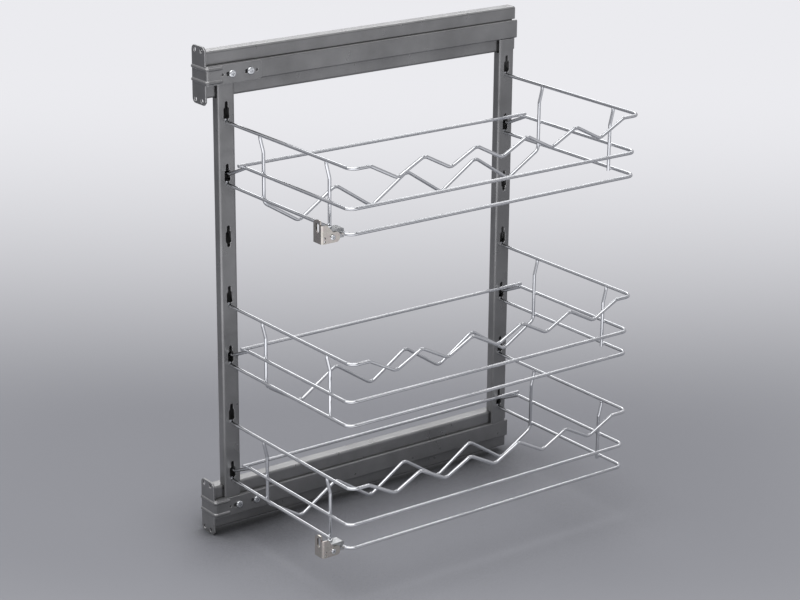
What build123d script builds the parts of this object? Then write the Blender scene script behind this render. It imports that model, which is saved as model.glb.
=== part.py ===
from build123d import *
import os
from math import atan2, cos, sin

# Pull-out bottle rack for a narrow kitchen cabinet. Millimetres.
# +Z is up, -Y is the door side that the rack pulls out towards, +X points from
# the cabinet's side wall to the baskets. The origin is on the side wall, in the
# middle of the four wall screws.

# Frame
upright_spacing = 355.5
upright_width = 20.0
upright_depth = 11.0
upright_bend = 2.5
frame_sheet = 1.5
flange_trim = 0.7

# Keyhole slots in the uprights, counted from the top
slot_count = 7
slot_pitch = 64.0
slot_margin_top = 27.5
slot_margin_bottom = 26.5
slot_height = 23.0
slot_shoulder = 7.5
slot_wide_width = 7.0
slot_wide_height = 9.8
slot_taper = 1.4
wire_play = 0.1

# Runners: a C rail on the wall, a middle member and the pull-out beam
rail_height = 47.0
rail_depth = 15.0
rail_sheet = 1.5
rail_bend = 2.5
rail_overhang_front = 20.25
rail_overhang_rear = 13.25
lip_gap = 0.5
beam_height = 19.6
beam_proud = 4.0
beam_tail = 5.5
middle_inset = 1.5
middle_depth = 9.5
outer_ball = 6.5
race_depth = 0.25
ball_play = 0.05
balls_per_strip = 8
ball_pitch = 26.0
strip_end = 6.0
strip_thickness = 1.6
strip_margin = 0.9
strip_gap = 0.4
pocket_play = 0.1
stop_height = 1.2
stop_length = 2.5
stop_width = 12.0
stud_diameter = 6.0
stud_inset = 9.0
buffer_length = 5.0
buffer_width = 9.0
buffer_height = 28.0
buffer_corner = 2.0
gap = 0.3
travel = 350.0

# Screws that hold the rails to the side wall
wall_screw_spacing = 288.0
wall_hole = 4.5

# Door brackets
bracket_sheet = 1.8
bracket_reach = 64.0
bracket_flange_height = 19.5
bracket_plate_width = 24.0
bracket_plate_height = 58.5
bracket_plate_drop = 0.75
bracket_bend = 3.0
bracket_corner = 5.0
bracket_clip = 3.5
plate_gap = 1.2
rib_radius = 1.9
rib_rise = 1.2
rib_spacing = 13.2
rib_length = 16.0
door_hole = 4.5
door_hole_spacing_x = 12.0
door_hole_margin = 4.25
door_hole_inset = 5.5
screw_hole = 4.4
screw_travel = 4.5
first_screw = 6.0
screw_spacing = 21.6
pilot_hole = 3.0
pilot_offset = 10.7
pilot_far_offset = 7.6

# Bracket screws and nuts
screw_shank = 4.0
screw_head = 8.2
screw_head_height = 2.6
recess_size = 3.8
recess_width = 0.9
recess_depth = 1.2
nut_across_flats = 7.0
nut_height = 3.2
nut_bore_play = 0.05
screw_tail = 1.0

# Baskets
wire = 3.5
basket_slots = [1, 4, 6]
rim_reach = 231.5
guard_reach = 228.25
base_reach = 227.75
corner_radius = 9.0
head_diameter = 5.8
head_length = 1.8
head_chamfer = 0.4
weld_gap = 0.05
rim_wave_count = 5
rim_wave_margin = 21.75
rim_wave_depth = 16.2
wave_bend = 8.0
guard_height = 24.65
guard_bend_start = 53.0
guard_bend_end = 23.5
guard_bend_radius = 6.0
back_wire_reach = 46.75
back_wire_overhang = 5.0
cradle_reach = 79.25
cradle_waves = 4
cradle_peak_drop = 1.2
cradle_valley_drop = 30.4
cradle_shoulder_drop = 5.2
post_inset = 36.25
post_tail = 2.5
kink_start = 2.0
kink_length = 14.0
kink_radius = 6.0

# Clips that steady the door from the top and bottom baskets
clip_baskets = [1, 3]
clip_sheet = 1.5
clip_width = 13.4
clip_height = 22.5
clip_rise = 14.5
clip_wire_margin = 1.8
clip_arch = 5.0
clip_slot_width = 5.0
clip_slot_height = 10.0
clip_slot_margin = 2.2
clip_leg_gap = 0.7
clip_leg_notch = 4.6
clip_leg_full = 13.0
clip_tongue_height = 10.0
clip_tongue_corner = 4.0
clip_bend = 2.5
clip_hole = 2.4
clip_hole_inset = 3.8
clip_hole_margin = 2.0
clip_hole_spacing = 3.6
jaw_length = 11.0
jaw_lip = 3.2
jaw_front = 14.5
jaw_lower_height = 5.2
jaw_upper_height = 4.2
jaw_corner = 2.0
jaw_play = 0.05
jaw_split = 0.15
jaw_screw = 3.0
jaw_screw_head = 5.4
jaw_screw_head_height = 1.7
jaw_recess = 2.7
leg_screw_inset = 3.8
leg_screw_length = 5.0
cap_screw_inset = 6.2
cap_screw_margin = 3.4
cap_screw_length = 5.0

# Places that follow from the sizes above
half_span = upright_spacing / 2
rail_front = half_span + rail_overhang_front
rail_rear = half_span + rail_overhang_rear
runner_spacing = (slot_count - 1) * slot_pitch + slot_height + slot_margin_top + slot_margin_bottom
half_units = runner_spacing / 2
beam_face = rail_depth + beam_proud
web_inner = beam_face - frame_sheet
upright_end = half_units - beam_height / 2
slot_neck = wire + 2 * wire_play
neck_drop = slot_height - slot_neck / 2
plate_back = rail_front + plate_gap
plate_face = plate_back + bracket_sheet
head_seat = web_inner - gap
rail_middle = (rail_rear - rail_front) / 2
middle_half = rail_height / 2 - rail_sheet - outer_ball + 2 * race_depth
inner_ball = middle_half - rail_sheet - beam_height / 2 + 2 * race_depth
member_end = rail_rear - buffer_length - 2 * gap
outer_ball_height = (rail_height / 2 - rail_sheet + middle_half) / 2
inner_ball_height = (middle_half - rail_sheet + beam_height / 2) / 2
wire_step = wire + weld_gap
clip_edge = base_reach - corner_radius - clip_wire_margin
leg_face = clip_edge - clip_sheet


def along_y(profile, start, end):
    """Push a profile drawn in X and Z from start to end along Y."""
    plane = Plane(origin=(0, end, 0), x_dir=(1, 0, 0), z_dir=(0, -1, 0))
    return extrude(plane * profile, amount=end - start)


def along_x(profile, start, end):
    """Push a profile drawn in Y and Z from start to end along X."""
    plane = Plane(origin=(start, 0, 0), x_dir=(0, 1, 0), z_dir=(1, 0, 0))
    return extrude(plane * profile, amount=end - start)


def block(low, high):
    """Box between two opposite corners."""
    size = [b - a for a, b in zip(low, high)]
    middle = [(a + b) / 2 for a, b in zip(low, high)]
    return Pos(*middle) * Box(*size)


def rod_x(radius, start, end, y, z):
    """Cylinder along X."""
    return Pos((start + end) / 2, y, z) * Rot(0, 90, 0) * Cylinder(radius, abs(end - start))


def rod_y(radius, start, end, x, z):
    """Cylinder along Y."""
    return Pos(x, (start + end) / 2, z) * Rot(90, 0, 0) * Cylinder(radius, abs(end - start))


def rod_z(radius, start, end, x, y):
    """Cylinder along Z."""
    return Pos(x, y, (start + end) / 2) * Cylinder(radius, abs(end - start))


def rect(x0, x1, y0, y1):
    """Rectangle between two corners, in the profile's own plane."""
    return Pos((x0 + x1) / 2, (y0 + y1) / 2) * Rectangle(x1 - x0, y1 - y0)


def round_corners(profile, radius, x=None, y=None):
    """Round the corners of a profile that lie at a given x or y."""
    chosen = [
        v for v in profile.vertices()
        if (x is None or abs(v.X - x) < 0.001) and (y is None or abs(v.Y - y) < 0.001)
    ]
    return fillet(chosen, radius)


def bent_wire(points, radii):
    """Round wire along a polyline with its inner corners rounded."""
    path = FilletPolyline(*points, radius=radii)
    section = Plane(origin=path @ 0, z_dir=path % 0) * Circle(wire / 2)
    return sweep(section, path=path)


def save(shape, name):
    shape.label = name
    export_step(shape, "parts/" + name + ".step")


def rail_profile():
    """C rail, open towards the baskets between its two lips."""
    half = rail_height / 2
    mouth = beam_height / 2 + lip_gap
    outer = round_corners(rect(0, rail_depth, -half, half), rail_bend)
    inner = rect(rail_sheet, rail_depth - rail_sheet, -half + rail_sheet, half - rail_sheet)
    inner = round_corners(inner, rail_bend - rail_sheet)
    return outer - inner - rect(rail_depth / 2, rail_depth + 1, -mouth, mouth)


def middle_profile():
    """Channel that rides inside the C rail."""
    low = rail_sheet + middle_inset
    high = low + middle_depth
    outer = round_corners(rect(low, high, -middle_half, middle_half), rail_bend, x=low)
    inner_half = middle_half - rail_sheet
    inner = rect(low + rail_sheet, high + 1, -inner_half, inner_half)
    inner = round_corners(inner, rail_bend - rail_sheet, x=low + rail_sheet)
    return outer - inner


def beam_profile():
    """Channel whose web is the visible face of the pull-out beam."""
    half = beam_height / 2
    outer = round_corners(rect(beam_tail, beam_face, -half, half), rail_bend - 1, x=beam_face)
    return outer - rect(beam_tail - 1, web_inner, -half + frame_sheet, half - frame_sheet)


def strip_width(ball):
    return ball + 2 * (pocket_play + strip_margin)


def ball_line_x():
    """Distance of the ball rows from the wall; the inner strips clear the middle web."""
    web = rail_sheet + middle_inset + rail_sheet
    return web + strip_gap + strip_width(inner_ball) / 2


def stop_place():
    """Y of the studs and tabs that meet at full travel, with the rack closed."""
    return member_end - stud_inset


def stop_tab(x, facing, z):
    """Tab pressed out of a member's web; half the travel lies behind it."""
    back = stop_place() - travel / 2 - stud_diameter / 2 - gap
    xs = sorted((x - facing * rail_sheet / 2, x + facing * stop_height))
    low = (xs[0], back - stop_length, z - stop_width / 2)
    return block(low, (xs[1], back, z + stop_width / 2))


def races(ball, height, z):
    """Cutters for the two grooves that one pair of ball rows runs in."""
    radius = ball / 2 + ball_play
    x = ball_line_x()
    rows = rod_y(radius, -rail_front - 1, rail_rear + 1, x, z + height)
    return rows + rod_y(radius, -rail_front - 1, rail_rear + 1, x, z - height)


def cabinet_rail(z):
    rail = along_y(Pos(0, z) * rail_profile(), -rail_front, rail_rear)
    rail += stop_tab(rail_sheet, 1, z)
    rail -= races(outer_ball, outer_ball_height, z)
    for side in (-1, 1):
        y = side * wall_screw_spacing / 2
        rail -= rod_x(wall_hole / 2, -1, rail_sheet + 1, y, z)
    return rail


def middle_rail(z):
    low = rail_sheet + middle_inset
    rail = along_y(Pos(0, z) * middle_profile(), -rail_front, member_end)
    rail += stop_tab(low + rail_sheet, 1, z)
    foot = stop_place() - stud_diameter / 2
    rail += block(
        (low - stop_height, foot, z - stop_width / 2),
        (low + rail_sheet / 2, foot + stop_length, z + stop_width / 2),
    )
    rail -= races(outer_ball, outer_ball_height, z)
    return rail - races(inner_ball, inner_ball_height, z)


def beam(z):
    """Pull-out beam: full-length web, flanges cut back in front of the buffer."""
    bar = along_y(Pos(0, z) * beam_profile(), -rail_front, rail_rear)
    bar -= races(inner_ball, inner_ball_height, z)
    half = rail_height / 2
    bar -= block((0, member_end, z - half), (web_inner, rail_rear + 1, z + half))
    for y in screw_places():
        bar -= rod_x(screw_shank / 2 + nut_bore_play, web_inner - 1, beam_face + 1, y, z)
    middle_web = rail_sheet + middle_inset + rail_sheet
    return bar + rod_x(stud_diameter / 2, middle_web + gap, web_inner + 0.5, stop_place(), z)


def end_buffer(z):
    """Rubber block that the closing members stop against."""
    low = (rail_sheet, member_end + gap, z - buffer_height / 2)
    high = (rail_sheet + buffer_width, member_end + gap + buffer_length, z + buffer_height / 2)
    pad = block(low, high)
    return fillet(pad.edges().filter_by(Axis.X), buffer_corner)


def ball_places():
    first = rail_middle - ball_pitch * (balls_per_strip - 1) / 2
    return [first + ball_pitch * i for i in range(balls_per_strip)]


def ball_strips(ball, height, z):
    """Upper and lower retainer strips with a pocket for each ball."""
    half = ball_pitch * (balls_per_strip - 1) / 2 + strip_end
    x = ball_line_x()
    strips = []
    for side in (1, -1):
        middle = z + side * height
        wide = strip_width(ball) / 2
        low = (x - wide, rail_middle - half, middle - strip_thickness / 2)
        high = (x + wide, rail_middle + half, middle + strip_thickness / 2)
        strip = block(low, high)
        for y in ball_places():
            radius = ball / 2 + pocket_play
            strip -= rod_z(radius, low[2] - 1, high[2] + 1, x, y)
        strips.append(strip)
    return Compound(children=strips)


def ball_rows(ball, height, z):
    """Balls of the upper and the lower row."""
    x = ball_line_x()
    balls = []
    for side in (1, -1):
        for y in ball_places():
            balls.append(Pos(x, y, z + side * height) * Sphere(ball / 2))
    return Compound(children=balls)


def keyhole(top):
    """Outline of one slot in Y and Z: narrow, wide, then narrow again."""
    neck = Pos(0, top - slot_height / 2) * Rot(0, 0, 90) * SlotOverall(slot_height, slot_neck)
    inner = slot_neck / 2
    outer = slot_wide_width / 2
    shoulder = top - slot_shoulder
    foot = shoulder - slot_wide_height
    room = make_face(Polyline(
        (-inner, shoulder + slot_taper),
        (-outer, shoulder),
        (-outer, foot),
        (-inner, foot - slot_taper),
        (inner, foot - slot_taper),
        (outer, foot),
        (outer, shoulder),
        (inner, shoulder + slot_taper),
        close=True,
    ))
    return neck + room


def slot_top(number):
    return half_units - slot_margin_top - slot_pitch * (number - 1)


def upright(y):
    """Box-section upright; beyond the rails only its face runs on to the beams."""
    half = upright_width / 2
    low = beam_face - upright_depth
    back = low + frame_sheet
    outer = round_corners(rect(low, beam_face, y - half, y + half), upright_bend)
    inner = rect(back, web_inner, y - half + frame_sheet, y + half - frame_sheet)
    inner = round_corners(inner, upright_bend - frame_sheet)
    post = Pos(0, 0, -upright_end) * extrude(outer - inner, amount=2 * upright_end)
    trim = half_units - rail_height / 2 - flange_trim
    for side in (1, -1):
        zs = sorted((side * trim, side * (upright_end + 1)))
        post -= block((low - 1, y - half - 1, zs[0]), (web_inner, y + half + 1, zs[1]))
    for number in range(1, slot_count + 1):
        outline = Pos(y, 0) * keyhole(slot_top(number))
        post -= along_x(outline, web_inner - 1, beam_face + 1)
    return post


def screw_places():
    first = -half_span + first_screw
    return [first, first + screw_spacing]


def door_bracket(z):
    """L bracket: flange on the beam's face, plate with four holes behind the door."""
    outer_x = beam_face + bracket_sheet
    plate_x = outer_x - bracket_bend
    low_x = plate_x - bracket_plate_width
    flange_half = bracket_flange_height / 2
    plate_middle = z - bracket_plate_drop

    angle = rect(low_x, outer_x, -plate_face, -plate_back)
    angle += rect(beam_face, outer_x, -plate_face, -plate_face + bracket_reach)
    angle = fillet(
        [v for v in angle.vertices() if v.X > outer_x - 0.01 and v.Y < -plate_face + 0.01],
        bracket_bend,
    )
    strap = Pos(0, 0, z - flange_half) * extrude(angle, amount=bracket_flange_height)
    end_edges = strap.edges().filter_by(Axis.X).group_by(Axis.Y)[-1]
    strap = fillet(end_edges, bracket_bend)

    plate = rect(low_x, plate_x, -bracket_plate_height / 2, bracket_plate_height / 2)
    plate = round_corners(plate, bracket_corner, x=low_x)
    plate = chamfer([v for v in plate.vertices() if abs(v.X - plate_x) < 0.001], bracket_clip)
    body = strap + along_y(Pos(0, plate_middle) * plate, -plate_face, -plate_back)

    for side in (1, -1):
        body += rib(z + side * rib_spacing / 2, low_x)
    body -= block(
        (low_x - 1, -plate_back, plate_middle - bracket_plate_height),
        (beam_face, -plate_face + bracket_reach + 5, plate_middle + bracket_plate_height),
    )

    for x in (low_x + door_hole_inset, low_x + door_hole_inset + door_hole_spacing_x):
        for side in (1, -1):
            hole_z = plate_middle + side * (bracket_plate_height / 2 - door_hole_margin)
            body -= rod_y(door_hole / 2, -plate_face - 1, -plate_back + 1, x, hole_z)
    for y in screw_places():
        radius = screw_hole / 2
        body -= rod_x(radius, beam_face - 1, outer_x + 2, y, z)
        body -= rod_x(radius, beam_face - 1, outer_x + 2, y - screw_travel, z)
        body -= block((beam_face - 1, y - screw_travel, z - radius), (outer_x + 2, y, z + radius))
    first, last = screw_places()
    for y in (first - pilot_offset, last + pilot_far_offset):
        body -= rod_x(pilot_hole / 2, beam_face - 1, outer_x + 2, y, z)
    return body


def rib(z, start):
    """Pressed rib that crosses the plate from its edge and stiffens the bend."""
    sink = rib_radius - rib_rise
    x = beam_face + bracket_sheet - sink
    y = -plate_face + sink
    path = FilletPolyline(
        (start, y, z),
        (x, y, z),
        (x, y + rib_length, z),
        radius=bracket_bend - sink,
    )
    section = Plane(origin=path @ 0, z_dir=path % 0) * Circle(rib_radius)
    return sweep(section, path=path) + Pos(x, y + rib_length, z) * Sphere(rib_radius)


def pan_screw(shank, head, head_height, length, recess):
    """Pan head screw along +X with its seat at the origin."""
    dome = Rot(0, 90, 0) * Pos(0, 0, head_height / 2) * Cylinder(head / 2, head_height)
    dome = fillet(dome.edges().group_by(Axis.X)[-1], head_height * 0.6)
    body = dome + rod_x(shank / 2, -length, 0, 0, 0)
    low = head_height - recess_depth
    wide = recess / 2
    thin = recess_width / 2
    body -= block((low, -wide, -thin), (head_height + 1, wide, thin))
    body -= block((low, -thin, -wide), (head_height + 1, thin, wide))
    return body


def bracket_screws(z):
    length = bracket_sheet + frame_sheet + nut_height + screw_tail
    seat = beam_face + bracket_sheet
    screws = []
    for y in screw_places():
        body = pan_screw(screw_shank, screw_head, screw_head_height, length, recess_size)
        screws.append(Pos(seat, y, z) * body)
    return Compound(children=screws)


def bracket_nuts(z):
    """Hexagon nuts behind the beam's web."""
    nuts = []
    for y in screw_places():
        outline = RegularPolygon(nut_across_flats / 2, 6, major_radius=False)
        outline -= Circle(screw_shank / 2 + nut_bore_play)
        nuts.append(along_x(Pos(y, z) * outline, web_inner - nut_height, web_inner))
    return Compound(children=nuts)


def headed(body, z):
    """Add the upset heads that sit behind the uprights."""
    for side in (-1, 1):
        head = rod_x(head_diameter / 2, head_seat - head_length, head_seat, side * half_span, z)
        body += chamfer(head.edges().group_by(Axis.X)[0], head_chamfer)
    return body


def base_level(top):
    """Height of the base wire, seated in the slot below the rim's."""
    return top - slot_pitch - neck_drop


def rim_wire(top):
    """Top wire; its outer side is a wave whose dips hold the bottle necks."""
    z = top - neck_drop
    points = [(head_seat, -half_span, z), (rim_reach, -half_span, z)]
    radii = [corner_radius]
    first = rim_wave_margin - half_span
    step = (upright_spacing - 2 * rim_wave_margin) / (2 * rim_wave_count)
    for i in range(2 * rim_wave_count + 1):
        level = z - rim_wave_depth * (i % 2)
        points.append((rim_reach, first + i * step, level))
        radii.append(wave_bend)
    points += [(rim_reach, half_span, z), (head_seat, half_span, z)]
    radii.append(corner_radius)
    return headed(bent_wire(points, radii), z)


def guard_wire(top):
    """Middle wire; its ends dip into the wide part of the lower slots."""
    z = base_level(top) + guard_height
    low = guard_end_level(top)
    start = head_seat - head_length
    near = [
        (start, -half_span, low),
        (guard_bend_end, -half_span, low),
        (guard_bend_start, -half_span, z),
        (guard_reach, -half_span, z),
    ]
    far = [(x, -y, height) for x, y, height in reversed(near)]
    bends = [guard_bend_radius, guard_bend_radius, corner_radius]
    return bent_wire(near + far, bends + bends[::-1])


def guard_end_level(top):
    """Just below the narrow top of the lower slot, which limits the basket's lift."""
    return top - slot_pitch - slot_shoulder - wire / 2 - weld_gap


def base_wire(top):
    """Bottom wire, hooked into the lower slots one pitch below the rim."""
    z = base_level(top)
    points = [
        (head_seat, -half_span, z),
        (base_reach, -half_span, z),
        (base_reach, half_span, z),
        (head_seat, half_span, z),
    ]
    return headed(bent_wire(points, [corner_radius, corner_radius]), z)


def back_wire(top):
    """Straight wire that lies on the sloping ends of the guard wire."""
    guard = base_level(top) + guard_height
    slope = atan2(guard - guard_end_level(top), guard_bend_start - guard_bend_end)
    fall = (guard_bend_start - back_wire_reach) * sin(slope) / cos(slope)
    z = guard - fall + wire_step / cos(slope)
    half = half_span + back_wire_overhang
    return rod_y(wire / 2, -half, half, back_wire_reach, z)


def post_points(reach, top, side):
    """Points of an upright wire: under the rim, then kinked in past the other wires."""
    start = top - neck_drop - wire_step + wire / 2
    inside = half_span - wire_step
    return [
        (reach, side * half_span, start),
        (reach, side * half_span, start - kink_start),
        (reach, side * inside, start - kink_start - kink_length),
    ]


def cradle_wire(top):
    """Inner wire; its lower wave carries the bodies of the bottles."""
    points = post_points(cradle_reach, top, -1)
    radii = [kink_radius, kink_radius]
    inside = half_span - wire_step
    base = base_level(top)
    points.append((cradle_reach, -inside, base - cradle_shoulder_drop))
    radii.append(wave_bend)
    pitch = upright_spacing / cradle_waves
    for i in range(2 * cradle_waves - 1):
        drop = cradle_peak_drop if i % 2 else cradle_valley_drop
        points.append((cradle_reach, -half_span + pitch * (i + 1) / 2, base - drop))
        radii.append(wave_bend)
    points.append((cradle_reach, inside, base - cradle_shoulder_drop))
    radii.append(wave_bend)
    points += post_points(cradle_reach, top, 1)[::-1]
    radii += [kink_radius, kink_radius]
    return bent_wire(points, radii)


def outer_post(top, side):
    """Short upright wire near the open side."""
    reach = base_reach - post_inset
    points = post_points(reach, top, side)
    points.append((reach, points[-1][1], base_level(top) - post_tail))
    return bent_wire(points, [kink_radius, kink_radius])


def clip_plate(top):
    """Angle plate: slotted face against the door, leg back to the basket."""
    high = base_level(top) + clip_rise
    low = high - clip_height
    left = clip_edge - clip_width
    face = rect(left, clip_edge, low, high)
    face = round_corners(face, clip_arch, y=high)
    slot_middle = high - clip_slot_margin - clip_slot_height / 2
    slot = Rot(0, 0, 90) * SlotOverall(clip_slot_height, clip_slot_width)
    face -= Pos((left + clip_edge) / 2, slot_middle) * slot
    body = along_y(face, -plate_face, -plate_face + clip_sheet)

    leg_top = high - clip_leg_notch
    knee = -plate_face + clip_leg_full
    end = -half_span - wire / 2 - clip_leg_gap
    tongue_top = low + clip_tongue_height
    leg = make_face(Polyline(
        (-plate_face, low),
        (end, low),
        (end, tongue_top),
        (knee, tongue_top),
        (-plate_face + clip_leg_full / 2, leg_top),
        (-plate_face, leg_top),
        close=True,
    ))
    leg = fillet([v for v in leg.vertices() if abs(v.X - end) < 0.001], clip_tongue_corner)
    body += along_x(leg, leg_face, clip_edge)
    body -= block(
        (clip_edge - clip_bend, -plate_face, leg_top),
        (clip_edge, -plate_face + clip_bend, high),
    )
    bend = [
        e for e in body.edges().filter_by(Axis.Z)
        if e.center().X > clip_edge - 0.01 and e.center().Y < -plate_face + 0.01
    ]
    body = fillet(bend, clip_bend)
    hole_y = -plate_face + clip_hole_inset
    for i in range(2):
        hole_z = low + clip_hole_margin + clip_hole_spacing * i
        body -= rod_x(clip_hole / 2, left, clip_edge + 1, hole_y, hole_z)
    return body - rod_x(jaw_screw / 2 + jaw_play, left, clip_edge + 1, *leg_screw(top))


def leg_screw(top):
    """Y and Z of the screw through the clip's leg."""
    return (-half_span - jaw_front + leg_screw_inset, base_level(top) - jaw_lower_height / 2)


def cap_screw():
    """X and Y of the screw that closes the two jaws."""
    start = leg_face - jaw_length
    return (start + cap_screw_margin, -half_span - jaw_front + cap_screw_inset)


def lower_jaw(top):
    """Block under the base wire, screwed to the clip's leg."""
    level = base_level(top)
    start = leg_face - jaw_length
    body = block(
        (start, -half_span - jaw_front, level - jaw_lower_height),
        (leg_face, -half_span + jaw_lip, level - jaw_split),
    )
    body -= rod_x(wire / 2 + jaw_play, start - 1, leg_face + 1, -half_span, level)
    y, z = leg_screw(top)
    body -= rod_x(jaw_screw / 2 + jaw_play, leg_face - leg_screw_length, leg_face + 1, y, z)
    x, y = cap_screw()
    return body - rod_z(jaw_screw / 2 + jaw_play, level - cap_screw_length, level + 1, x, y)


def upper_jaw(top):
    """Cap over the base wire."""
    level = base_level(top)
    start = leg_face - jaw_length
    body = block(
        (start, -half_span - jaw_front, level + jaw_split),
        (leg_face, -half_span + jaw_lip, level + jaw_upper_height),
    )
    body = fillet(body.edges().filter_by(Axis.X).group_by(Axis.Z)[-1], jaw_corner)
    body -= rod_x(wire / 2 + jaw_play, start - 1, leg_face + 1, -half_span, level)
    x, y = cap_screw()
    return body - rod_z(jaw_screw / 2 + jaw_play, level - 1, level + jaw_upper_height + 1, x, y)


def clip_screws(top):
    """Screw through the leg and screw through the cap."""
    y, z = leg_screw(top)
    leg_length = clip_sheet + leg_screw_length - gap
    args = (jaw_screw, jaw_screw_head, jaw_screw_head_height)
    leg = Pos(clip_edge, y, z) * pan_screw(*args, leg_length, jaw_recess)
    x, y = cap_screw()
    cap_length = jaw_upper_height + cap_screw_length - gap
    cap_seat = base_level(top) + jaw_upper_height
    cap = Pos(x, y, cap_seat) * Rot(0, -90, 0) * pan_screw(*args, cap_length, jaw_recess)
    return Compound(children=[leg, cap])


os.makedirs("parts", exist_ok=True)

for unit, side in (("top", 1), ("bottom", -1)):
    z = side * half_units
    save(cabinet_rail(z), "cabinet_rail_" + unit)
    save(end_buffer(z), "end_buffer_" + unit)
    save(middle_rail(z), "middle_rail_" + unit)
    save(ball_strips(outer_ball, outer_ball_height, z), "outer_ball_strips_" + unit)
    save(ball_rows(outer_ball, outer_ball_height, z), "outer_balls_" + unit)
    save(ball_strips(inner_ball, inner_ball_height, z), "inner_ball_strips_" + unit)
    save(ball_rows(inner_ball, inner_ball_height, z), "inner_balls_" + unit)
    save(beam(z), "beam_" + unit)
    save(door_bracket(z), "door_bracket_" + unit)
    save(bracket_screws(z), "bracket_screws_" + unit)
    save(bracket_nuts(z), "bracket_nuts_" + unit)

save(upright(-half_span), "upright_front")
save(upright(half_span), "upright_rear")

basket_names = ["basket_top", "basket_middle", "basket_bottom"]
for number, (name, slot) in enumerate(zip(basket_names, basket_slots), start=1):
    top = slot_top(slot)
    save(rim_wire(top), name + "_rim_wire")
    save(guard_wire(top), name + "_guard_wire")
    save(base_wire(top), name + "_base_wire")
    save(back_wire(top), name + "_back_wire")
    save(cradle_wire(top), name + "_cradle_wire")
    save(outer_post(top, -1), name + "_post_front")
    save(outer_post(top, 1), name + "_post_rear")
    if number in clip_baskets:
        save(clip_plate(top), name + "_clip_plate")
        save(lower_jaw(top), name + "_clip_lower_jaw")
        save(upper_jaw(top), name + "_clip_upper_jaw")
        save(clip_screws(top), name + "_clip_screws")
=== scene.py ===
import bpy
from math import atan2, cos, pi, radians, sin
from mathutils import Matrix, Vector


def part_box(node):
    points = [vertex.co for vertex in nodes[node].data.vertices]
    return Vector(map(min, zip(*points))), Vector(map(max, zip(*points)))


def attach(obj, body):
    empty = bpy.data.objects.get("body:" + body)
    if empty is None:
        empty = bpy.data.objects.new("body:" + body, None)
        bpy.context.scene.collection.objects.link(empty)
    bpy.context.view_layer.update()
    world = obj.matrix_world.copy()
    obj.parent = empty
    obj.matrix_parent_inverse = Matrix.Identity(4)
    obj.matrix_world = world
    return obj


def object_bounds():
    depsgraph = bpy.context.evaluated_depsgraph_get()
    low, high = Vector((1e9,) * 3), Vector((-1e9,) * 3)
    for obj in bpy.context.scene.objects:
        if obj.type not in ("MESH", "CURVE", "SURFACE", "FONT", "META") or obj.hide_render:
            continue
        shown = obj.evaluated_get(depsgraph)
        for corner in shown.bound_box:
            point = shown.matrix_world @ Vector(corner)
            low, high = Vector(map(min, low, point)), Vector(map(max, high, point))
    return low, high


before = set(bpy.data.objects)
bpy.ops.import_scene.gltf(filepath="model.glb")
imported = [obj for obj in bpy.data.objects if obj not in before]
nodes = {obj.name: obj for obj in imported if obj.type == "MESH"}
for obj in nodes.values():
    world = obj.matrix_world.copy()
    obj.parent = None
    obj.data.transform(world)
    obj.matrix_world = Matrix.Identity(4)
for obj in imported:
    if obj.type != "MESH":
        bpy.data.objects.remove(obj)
cad_box = [list(corner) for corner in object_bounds()]


# Runners, beams, uprights and door brackets. Rolled strip and pressed steel, welded
# and powder coated in a metallic aluminium grey. The coat has a satin gloss, a fine
# orange peel and small flecks; a painted highlight lightens it along the edges.

def srgb(code):
    """Linear colour of an sRGB hex code."""
    parts = [int(code[i:i + 2], 16) / 255 for i in (1, 3, 5)]
    return [c / 12.92 if c <= 0.04045 else ((c + 0.055) / 1.055) ** 2.4 for c in parts] + [1.0]


def add(tree, kind, settings=None, inputs=None):
    """Add a node, give it its settings, and set or link its inputs."""
    node = tree.nodes.new(kind)
    for name, value in (settings or {}).items():
        setattr(node, name, value)
    for name, value in (inputs or {}).items():
        if isinstance(value, bpy.types.NodeSocket):
            tree.links.new(value, node.inputs[name])
        else:
            node.inputs[name].default_value = value
    return node


def new_finish(name, metallic):
    """A material, its shader and the place in the object that its patterns read."""
    material = bpy.data.materials.new(name)
    material.use_nodes = True
    tree = material.node_tree
    shader = tree.nodes["Principled BSDF"]
    shader.inputs["Metallic"].default_value = metallic
    place = add(tree, "ShaderNodeTexCoord").outputs["Object"]
    return material, tree, shader, place


def compute(tree, operation, first, second=0.0, clamp=False):
    """Result of a sum with one or two values."""
    settings = {"operation": operation, "use_clamp": clamp}
    return add(tree, "ShaderNodeMath", settings, {0: first, 1: second}).outputs["Value"]


def spread(tree, value, start, end, first=0.0, last=1.0, kind="LINEAR"):
    """Value that goes from the first to the last while the given one goes from start to end."""
    node = add(tree, "ShaderNodeMapRange", {"interpolation_type": kind}, {
        "Value": value, "From Min": start, "From Max": end, "To Min": first, "To Max": last})
    return node.outputs["Result"]


def noise(tree, place, size, detail):
    """Noise with features of a real size in metres."""
    inputs = {"Vector": place, "Scale": 1 / size, "Detail": detail}
    return add(tree, "ShaderNodeTexNoise", None, inputs).outputs["Fac"]


def mottle(tree, place, size, low, high):
    """Noise with features of a real size in metres, spread between two values."""
    return spread(tree, noise(tree, place, size, detail=3.0), 0.3, 0.7, low, high)


def colour_between(tree, share, first, second, shader):
    """Send the shader a colour that goes from the first to the second with the share."""
    inputs = {0: share, 6: srgb(first), 7: srgb(second)}
    mix = add(tree, "ShaderNodeMix", {"data_type": "RGBA"}, inputs)
    tree.links.new(mix.outputs[2], shader.inputs["Base Color"])


def roughen(tree, shader, place, size, low, high):
    """Roughness that varies in patches of a real size in metres."""
    tree.links.new(mottle(tree, place, size, low, high), shader.inputs["Roughness"])


def relief(tree, shader, height, strength, depth, normal=None):
    """Bump of a real depth in metres."""
    inputs = {"Height": height, "Strength": strength, "Distance": depth}
    if normal:
        inputs["Normal"] = normal
    bump = add(tree, "ShaderNodeBump", None, inputs)
    tree.links.new(bump.outputs["Normal"], shader.inputs["Normal"])


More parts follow.
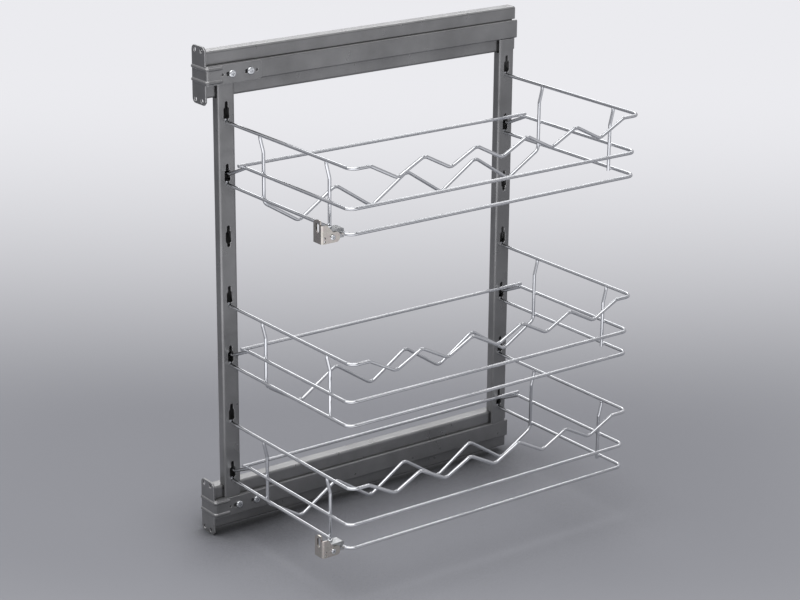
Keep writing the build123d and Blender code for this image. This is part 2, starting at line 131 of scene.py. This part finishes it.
def dress(material, *names):
    """Give the named pieces one material."""
    for name in names:
        slots = nodes[name].data.materials
        slots.clear()
        slots.append(material)


def powder_coat(name, edge_radius):
    """Metallic powder coat with a painted highlight on its edges; the radius is how far it
    softens an edge, in metres.
    """
    coat, tree, shader, place = new_finish(name, metallic=0.7)
    shader.inputs["Coat Weight"].default_value = 0.25
    shader.inputs["Coat Roughness"].default_value = 0.15
    # The real flecks are finer than 0.1 mm; they are drawn at 0.45 mm so that they show.
    fleck_size = 0.00045
    fleck = add(tree, "ShaderNodeTexVoronoi", None, {"Vector": place, "Scale": 1 / fleck_size})
    sparkle = spread(tree, fleck.outputs["Distance"], start=0.05, end=0.35, first=0.3, last=0.0)
    cloud = mottle(tree, place, size=0.045, low=0.0, high=0.25)
    share = compute(tree, "ADD", sparkle, cloud)
    # Painted highlight: the colour is lighter on an edge, which is where the softened normal
    # turns away from the face's own.
    rounded = add(tree, "ShaderNodeBevel", {"samples": 8}, {"Radius": edge_radius})
    flat = add(tree, "ShaderNodeNewGeometry")
    facing = add(tree, "ShaderNodeVectorMath", {"operation": "DOT_PRODUCT"}, {
        0: rounded.outputs["Normal"], 1: flat.outputs["Normal"]})
    edge = spread(tree, facing.outputs["Value"], start=1.0, end=0.9, first=0.0, last=0.9)
    share = compute(tree, "ADD", share, edge, clamp=True)
    colour_between(tree, share, "#7C7C7C", "#C0C0C0", shader)
    roughen(tree, shader, place, size=0.012, low=0.27, high=0.35)
    peel = noise(tree, place, size=0.0014, detail=1.0)
    relief(tree, shader, peel, strength=0.1, depth=0.0002, normal=rounded.outputs["Normal"])
    return coat


rolled_coat = powder_coat("aluminium_grey_powder_coat_on_rolled_strip", edge_radius=0.0006)
pressed_coat = powder_coat("aluminium_grey_powder_coat_on_pressed_sheet", edge_radius=0.0009)
units = ("top", "bottom")
for unit in units:
    dress(rolled_coat, "cabinet_rail_" + unit, "beam_" + unit)
    dress(pressed_coat, "door_bracket_" + unit)
dress(rolled_coat, "upright_front", "upright_rear")


# Middle members and ball strips. Rolled from zinc-plated strip: pale grey with a
# faint spangle, and drawn out along the runner where grease has been dragged.

strip, tree, shader, place = new_finish("galvanised_runner_strip", metallic=1.0)
spangle_size = 0.004
spangle = add(tree, "ShaderNodeTexVoronoi", None, {"Vector": place, "Scale": 1 / spangle_size})
shade = add(tree, "ShaderNodeSeparateColor", None, {"Color": spangle.outputs["Color"]})
colour_between(tree, shade.outputs["Red"], "#9A9EA2", "#B6BABD", shader)
drag = (1.0, 0.04, 1.0)
along = add(tree, "ShaderNodeMapping", None, {"Vector": place, "Scale": drag})
roughen(tree, shader, along.outputs["Vector"], size=0.002, low=0.28, high=0.48)
for unit in units:
    dress(strip, "middle_rail_" + unit, "outer_ball_strips_" + unit, "inner_ball_strips_" + unit)


# Balls. Hardened, ground steel under a film of grease: nearly a mirror, with the
# film slightly uneven and faintly yellow.

ball_steel, tree, shader, place = new_finish("greased_ball_steel", metallic=1.0)
film = mottle(tree, place, size=0.003, low=0.0, high=1.0)
colour_between(tree, film, "#C6C8C9", "#B4AF9C", shader)
roughen(tree, shader, place, size=0.0025, low=0.07, high=0.3)
for unit in units:
    dress(ball_steel, "outer_balls_" + unit, "inner_balls_" + unit)


# End buffers. Black rubber moulded as blocks and pressed into the rear of the rails:
# matt, with the grain of the mould and a paler bloom.

rubber, tree, shader, place = new_finish("moulded_black_rubber", metallic=0.0)
bloom = mottle(tree, place, size=0.004, low=0.0, high=0.6)
colour_between(tree, bloom, "#1B1B1C", "#2F2F30", shader)
roughen(tree, shader, place, size=0.003, low=0.65, high=0.8)
grain = noise(tree, place, size=0.0005, detail=2.0)
relief(tree, shader, grain, strength=0.3, depth=0.0001)
dress(rubber, "end_buffer_top", "end_buffer_bottom")


# Bracket screws, nuts and clip screws. Cold-headed steel, zinc plated and clear
# passivated: bright, almost neutral, with soft tool marks.

bright_zinc, tree, shader, place = new_finish("clear_passivated_zinc", metallic=1.0)
marks = mottle(tree, place, size=0.0015, low=0.0, high=1.0)
colour_between(tree, marks, "#C2C4C7", "#DFE1E2", shader)
roughen(tree, shader, place, size=0.0008, low=0.14, high=0.3)
for unit in units:
    dress(bright_zinc, "bracket_screws_" + unit, "bracket_nuts_" + unit)
dress(bright_zinc, "basket_top_clip_screws", "basket_bottom_clip_screws")


# Basket wires. Drawn steel wire, bent on a former, resistance welded and chrome
# plated after welding: a bright plate over slight waves left by the drawing.

chrome, tree, shader, place = new_finish("bright_chrome_plate", metallic=1.0)
plate = mottle(tree, place, size=0.02, low=0.0, high=1.0)
colour_between(tree, plate, "#C6C8CB", "#D6D7D9", shader)
roughen(tree, shader, place, size=0.004, low=0.06, high=0.15)
wave = noise(tree, place, size=0.03, detail=0.0)
relief(tree, shader, wave, strength=0.05, depth=0.0003)
baskets = ("basket_top", "basket_middle", "basket_bottom")
wires = (
    "rim_wire", "guard_wire", "base_wire", "back_wire", "cradle_wire", "post_front", "post_rear")
for basket in baskets:
    dress(chrome, *[basket + "_" + wire for wire in wires])


# Welds of the baskets. Where two wires are pressed together and welded, steel is
# squeezed out into a thin uneven collar, which is plated with the wires.

wire_diameter = 0.0035
head_diameter = 0.0058
collar_radius = 0.0021
collar_thickness = 0.0016
collar_narrowing = 0.86
seam_bulge = 1.08
seam_height = 0.1 * collar_thickness
unevenness_size = 0.0016
unevenness_depth = 0.0005

bpy.ops.object.select_all(action="DESELECT")
bpy.ops.mesh.primitive_uv_sphere_add(segments=20, ring_count=10, radius=collar_radius)
collar = bpy.context.object
collar.name = "weld_collar"
bpy.ops.object.mode_set(mode="EDIT")
bpy.ops.mesh.select_all(action="SELECT")
flatten = collar_thickness / (2 * collar_radius)
bpy.ops.transform.resize(value=(1.0, collar_narrowing, flatten), center_override=(0, 0, 0))
bpy.ops.mesh.select_all(action="DESELECT")
bpy.ops.object.mode_set(mode="OBJECT")
for vertex in collar.data.vertices:
    vertex.select = abs(vertex.co.z) < seam_height
bpy.ops.object.mode_set(mode="EDIT")
bpy.ops.transform.resize(value=(seam_bulge, seam_bulge, 1.0), center_override=(0, 0, 0))
bpy.ops.mesh.select_all(action="SELECT")
bpy.ops.mesh.normals_make_consistent(inside=False)
bpy.ops.object.mode_set(mode="OBJECT")
uneven = bpy.data.textures.new("weld_unevenness", "CLOUDS")
uneven.noise_scale = unevenness_size
push = collar.modifiers.new("unevenness", "DISPLACE")
push.texture = uneven
push.texture_coords = "LOCAL"
push.strength = unevenness_depth
bpy.ops.object.modifier_apply(modifier=push.name)
bpy.ops.object.shade_smooth()
collar.data.materials.append(chrome)

# The guard wire falls from the back wire to the uprights.
guard_fall = 0.0128
guard_run = 0.0295
guard_slope = atan2(guard_fall, guard_run)
# Each collar is turned on from the one before, so that no two look alike.
turn_on = 0.9


def middle(name):
    """Centre of a piece's box."""
    low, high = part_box(name)
    return (Vector(low) + Vector(high)) / 2


def weld_places(basket):
    """Point and pressing direction of each weld of one basket."""
    places = []
    half_wire = wire_diameter / 2
    rim_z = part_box(basket + "_rim_wire")[1][2] - head_diameter / 2
    base_z = middle(basket + "_base_wire").z
    guard_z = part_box(basket + "_guard_wire")[1][2] - half_wire
    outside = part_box(basket + "_guard_wire")[1][1] - half_wire
    contact = outside - half_wire
    for x in (middle(basket + "_cradle_wire").x, middle(basket + "_post_front").x):
        for side in (-1, 1):
            places.append((Vector((x, side * outside, rim_z - half_wire)), Vector((0, 0, 1))))
            for z in (guard_z, base_z):
                places.append((Vector((x, side * contact, z)), Vector((0, 1, 0))))
    back = middle(basket + "_back_wire")
    lift = Vector((-sin(guard_slope), 0, cos(guard_slope)))
    for side in (-1, 1):
        places.append((Vector((back.x, side * outside, back.z)) - lift * half_wire, lift))
    return places


for basket in baskets:
    copies = []
    for count, (point, pressing) in enumerate(weld_places(basket)):
        copy = bpy.data.objects.new("weld", collar.data.copy())
        bpy.context.scene.collection.objects.link(copy)
        facing = pressing.to_track_quat("Z", "Y").to_matrix().to_4x4()
        turn = facing @ Matrix.Rotation(count * turn_on, 4, "Z")
        copy.data.transform(Matrix.Translation(point) @ turn)
        copies.append(copy)
    bpy.ops.object.select_all(action="DESELECT")
    for copy in copies:
        copy.select_set(True)
    bpy.context.view_layer.objects.active = copies[0]
    bpy.ops.object.join()
    welds = bpy.context.object
    welds.name = basket + "_welds"
    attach(welds, basket)
bpy.data.objects.remove(collar)


# Door clips. Plates pressed from strip, zinc plated and yellow passivated: a pale
# bronze with faint rose and olive clouds. The jaws are zinc die castings, dull grey.

bronze, tree, shader, place = new_finish("yellow_passivated_zinc", metallic=1.0)
cloud = noise(tree, place, size=0.007, detail=2.0)
ramp = add(tree, "ShaderNodeValToRGB", None, {"Fac": cloud})
stops = ramp.color_ramp.elements
stops[0].color = srgb("#96918A")
stops[-1].color = srgb("#BABAB1")
for position, code in ((0.45, "#BFBBB3"), (0.6, "#BDB5B0")):
    stops.new(position).color = srgb(code)
tree.links.new(ramp.outputs["Color"], shader.inputs["Base Color"])
roughen(tree, shader, place, size=0.002, low=0.14, high=0.28)

casting, tree, shader, place = new_finish("zinc_die_casting", metallic=1.0)
dullness = mottle(tree, place, size=0.0025, low=0.0, high=1.0)
colour_between(tree, dullness, "#9EA0A1", "#BDBEBE", shader)
roughen(tree, shader, place, size=0.0015, low=0.3, high=0.46)
skin = noise(tree, place, size=0.0009, detail=2.0)
relief(tree, shader, skin, strength=0.2, depth=0.0002)
for basket in ("basket_top", "basket_bottom"):
    dress(bronze, basket + "_clip_plate")
    dress(casting, basket + "_clip_lower_jaw", basket + "_clip_upper_jaw")


# Floor, light and camera. A plain floor, grey around the rack and fading to near
# white further off. A large soft lamp hangs above and before the rack, a smaller one
# stands behind it and a third high at its right.

def graded(tree, place, direction, start, end, first, last):
    """Value that goes smoothly from the first to the last along a direction, in metres."""
    part = add(tree, "ShaderNodeVectorMath", {"operation": "DOT_PRODUCT"}, {
        0: place, 1: direction}).outputs["Value"]
    return spread(tree, part, start, end, first, last, kind="SMOOTHSTEP")


floor_level = cad_box[0][2]
view_azimuth = radians(53.358)
bpy.ops.object.select_all(action="DESELECT")
bpy.ops.mesh.primitive_plane_add(size=40.0, location=(0, 0, floor_level))
floor = bpy.context.object
floor.name = "floor"
floor.data.transform(floor.matrix_world)
floor.matrix_world = Matrix.Identity(4)

paint, tree, shader, place = new_finish("plain_floor", metallic=0.0)
shader.inputs["Roughness"].default_value = 0.8
# Painted shade: the floor's colour darkens just under and behind the rack, where the rack keeps
# the studio's light off it.
nook = add(tree, "ShaderNodeAmbientOcclusion", {"samples": 4}, {"Distance": 0.11})
open_floor = spread(tree, nook.outputs["AO"], start=0.45, end=0.95, kind="SMOOTHSTEP")
colour_between(tree, open_floor, "#26272A", "#8A8B90", shader)

# Its pale glow grows with the distance from the rack, and reaches nearer along the
# view than across it. The fade sets in quickly and runs out slowly.
far_glow = "#EBEBEF"
view_stretch = (1.8, 1.0, 1.0)
fade_start, fade_end, fade_ease = 0.2, 1.9, 0.25
turned = add(tree, "ShaderNodeMapping", {"vector_type": "TEXTURE"}, {
    "Vector": place, "Rotation": (0, 0, view_azimuth), "Scale": view_stretch})
split = add(tree, "ShaderNodeSeparateXYZ", None, {"Vector": turned.outputs["Vector"]})
across = compute(tree, "POWER", compute(tree, "ABSOLUTE", split.outputs["X"]), 4.0)
ahead = compute(tree, "POWER", compute(tree, "ABSOLUTE", split.outputs["Y"]), 4.0)
away = compute(tree, "POWER", compute(tree, "ADD", across, ahead), 0.25)
eased = compute(tree, "POWER", away, fade_ease)
fade = spread(
    tree, eased, start=fade_start ** fade_ease, end=fade_end ** fade_ease, kind="SMOOTHSTEP")

# In the metal the floor stays grey on the door side, is white before the camera and
# half as bright to the right of the rack.
mirror_fade = spread(tree, away, start=0.02, end=1.6, kind="SMOOTHSTEP")
to_the_right = (0.8, 0.6, 0.0)
to_the_camera = (0.8, -0.6, 0.0)
door_side = graded(tree, place, to_the_right, start=-0.9, end=-0.2, first=0.0, last=1.0)
right_side = graded(tree, place, to_the_right, start=0.3, end=1.2, first=1.0, last=0.5)
camera_side = graded(tree, place, to_the_camera, start=0.2, end=0.7, first=0.0, last=1.0)
mirrored = compute(tree, "MAXIMUM", mirror_fade, camera_side)
mirrored = compute(tree, "MULTIPLY", mirrored, right_side)
mirrored = compute(tree, "MULTIPLY", mirrored, door_side)

ray = add(tree, "ShaderNodeLightPath").outputs
glow_share = add(tree, "ShaderNodeMix", None, {0: ray["Is Glossy Ray"], 2: fade, 3: mirrored})
seen = compute(tree, "MAXIMUM", ray["Is Camera Ray"], ray["Is Glossy Ray"])
seen = compute(tree, "MAXIMUM", seen, ray["Is Transmission Ray"])
glow_share = compute(tree, "MULTIPLY", glow_share.outputs[0], seen)
extra = compute(tree, "MULTIPLY", ray["Is Glossy Ray"], camera_side)
glow = add(tree, "ShaderNodeEmission", None, {
    "Color": srgb(far_glow), "Strength": compute(tree, "ADD", extra, 1.0)})
ground = add(tree, "ShaderNodeMixShader", None, {
    0: glow_share, 1: shader.outputs["BSDF"], 2: glow.outputs["Emission"]})
tree.links.new(ground.outputs["Shader"], tree.nodes["Material Output"].inputs["Surface"])
floor.data.materials.append(paint)

# The studio is pale grey all round and a little darker to the right of the rack. The
# camera sees it in the floor's far colour, so that floor and wall run together.
world = bpy.data.worlds.new("studio")
bpy.context.scene.world = world
world.use_nodes = True
tree = world.node_tree
dark_direction = (0.905, 0.14, 0.4)
around = add(tree, "ShaderNodeTexCoord").outputs["Generated"]
dark = graded(tree, around, dark_direction, start=0.6, end=0.9, first=0.0, last=1.0)
mix = add(tree, "ShaderNodeMix", {"data_type": "RGBA"}, {
    0: dark, 6: srgb("#BEBEC2"), 7: srgb("#9A9A9E")})
ray = add(tree, "ShaderNodeLightPath").outputs
mix = add(tree, "ShaderNodeMix", {"data_type": "RGBA"}, {
    0: ray["Is Camera Ray"], 6: mix.outputs[2], 7: srgb(far_glow)})
background = tree.nodes["Background"]
tree.links.new(mix.outputs[2], background.inputs["Color"])
background.inputs["Strength"].default_value = 1.0


def soft_lamp(name, size, place, target, radiance):
    """Rectangular lamp that faces a point and is itself out of the picture."""
    lamp = bpy.data.objects.new(name, bpy.data.lights.new(name, "AREA"))
    bpy.context.scene.collection.objects.link(lamp)
    lamp.data.shape = "RECTANGLE"
    lamp.data.size, lamp.data.size_y = size
    lamp.data.energy = radiance * pi * size[0] * size[1]
    lamp.location = place
    lamp.rotation_euler = (Vector(target) - Vector(place)).to_track_quat("-Z", "Y").to_euler()
    lamp.visible_camera = False


soft_lamp("front_lamp", (3.0, 2.2), (0.6, -0.8, 1.9), target=(0.1, 0.0, 0.0), radiance=2.0)
soft_lamp("back_lamp", (1.8, 0.9), (-1.9, 1.45, 1.45), target=(0.0, 0.0, 0.2), radiance=2.8)
soft_lamp("upper_lamp", (0.8, 0.5), (0.75, 1.25, 1.75), target=(0.0, 0.0, 0.1), radiance=1.4)

# The camera stands where the photograph was taken, as solved from the slots and wires.
view_elevation = 18.991
view_roll = 0.461
camera = bpy.data.objects.new("camera", bpy.data.cameras.new("camera"))
bpy.context.scene.collection.objects.link(camera)
bpy.context.scene.camera = camera
camera.data.lens = 101.77
camera.data.shift_x = 0.00205
camera.data.shift_y = 0.00087
camera.location = (1.8610, -1.33477, 0.7430)
turn = Matrix.Rotation(view_azimuth, 4, "Z")
turn = turn @ Matrix.Rotation(radians(90 - view_elevation), 4, "X")
turn = turn @ Matrix.Rotation(radians(view_roll), 4, "Z")
camera.rotation_euler = turn.to_euler()

bpy.context.scene.view_settings.view_transform = "Standard"
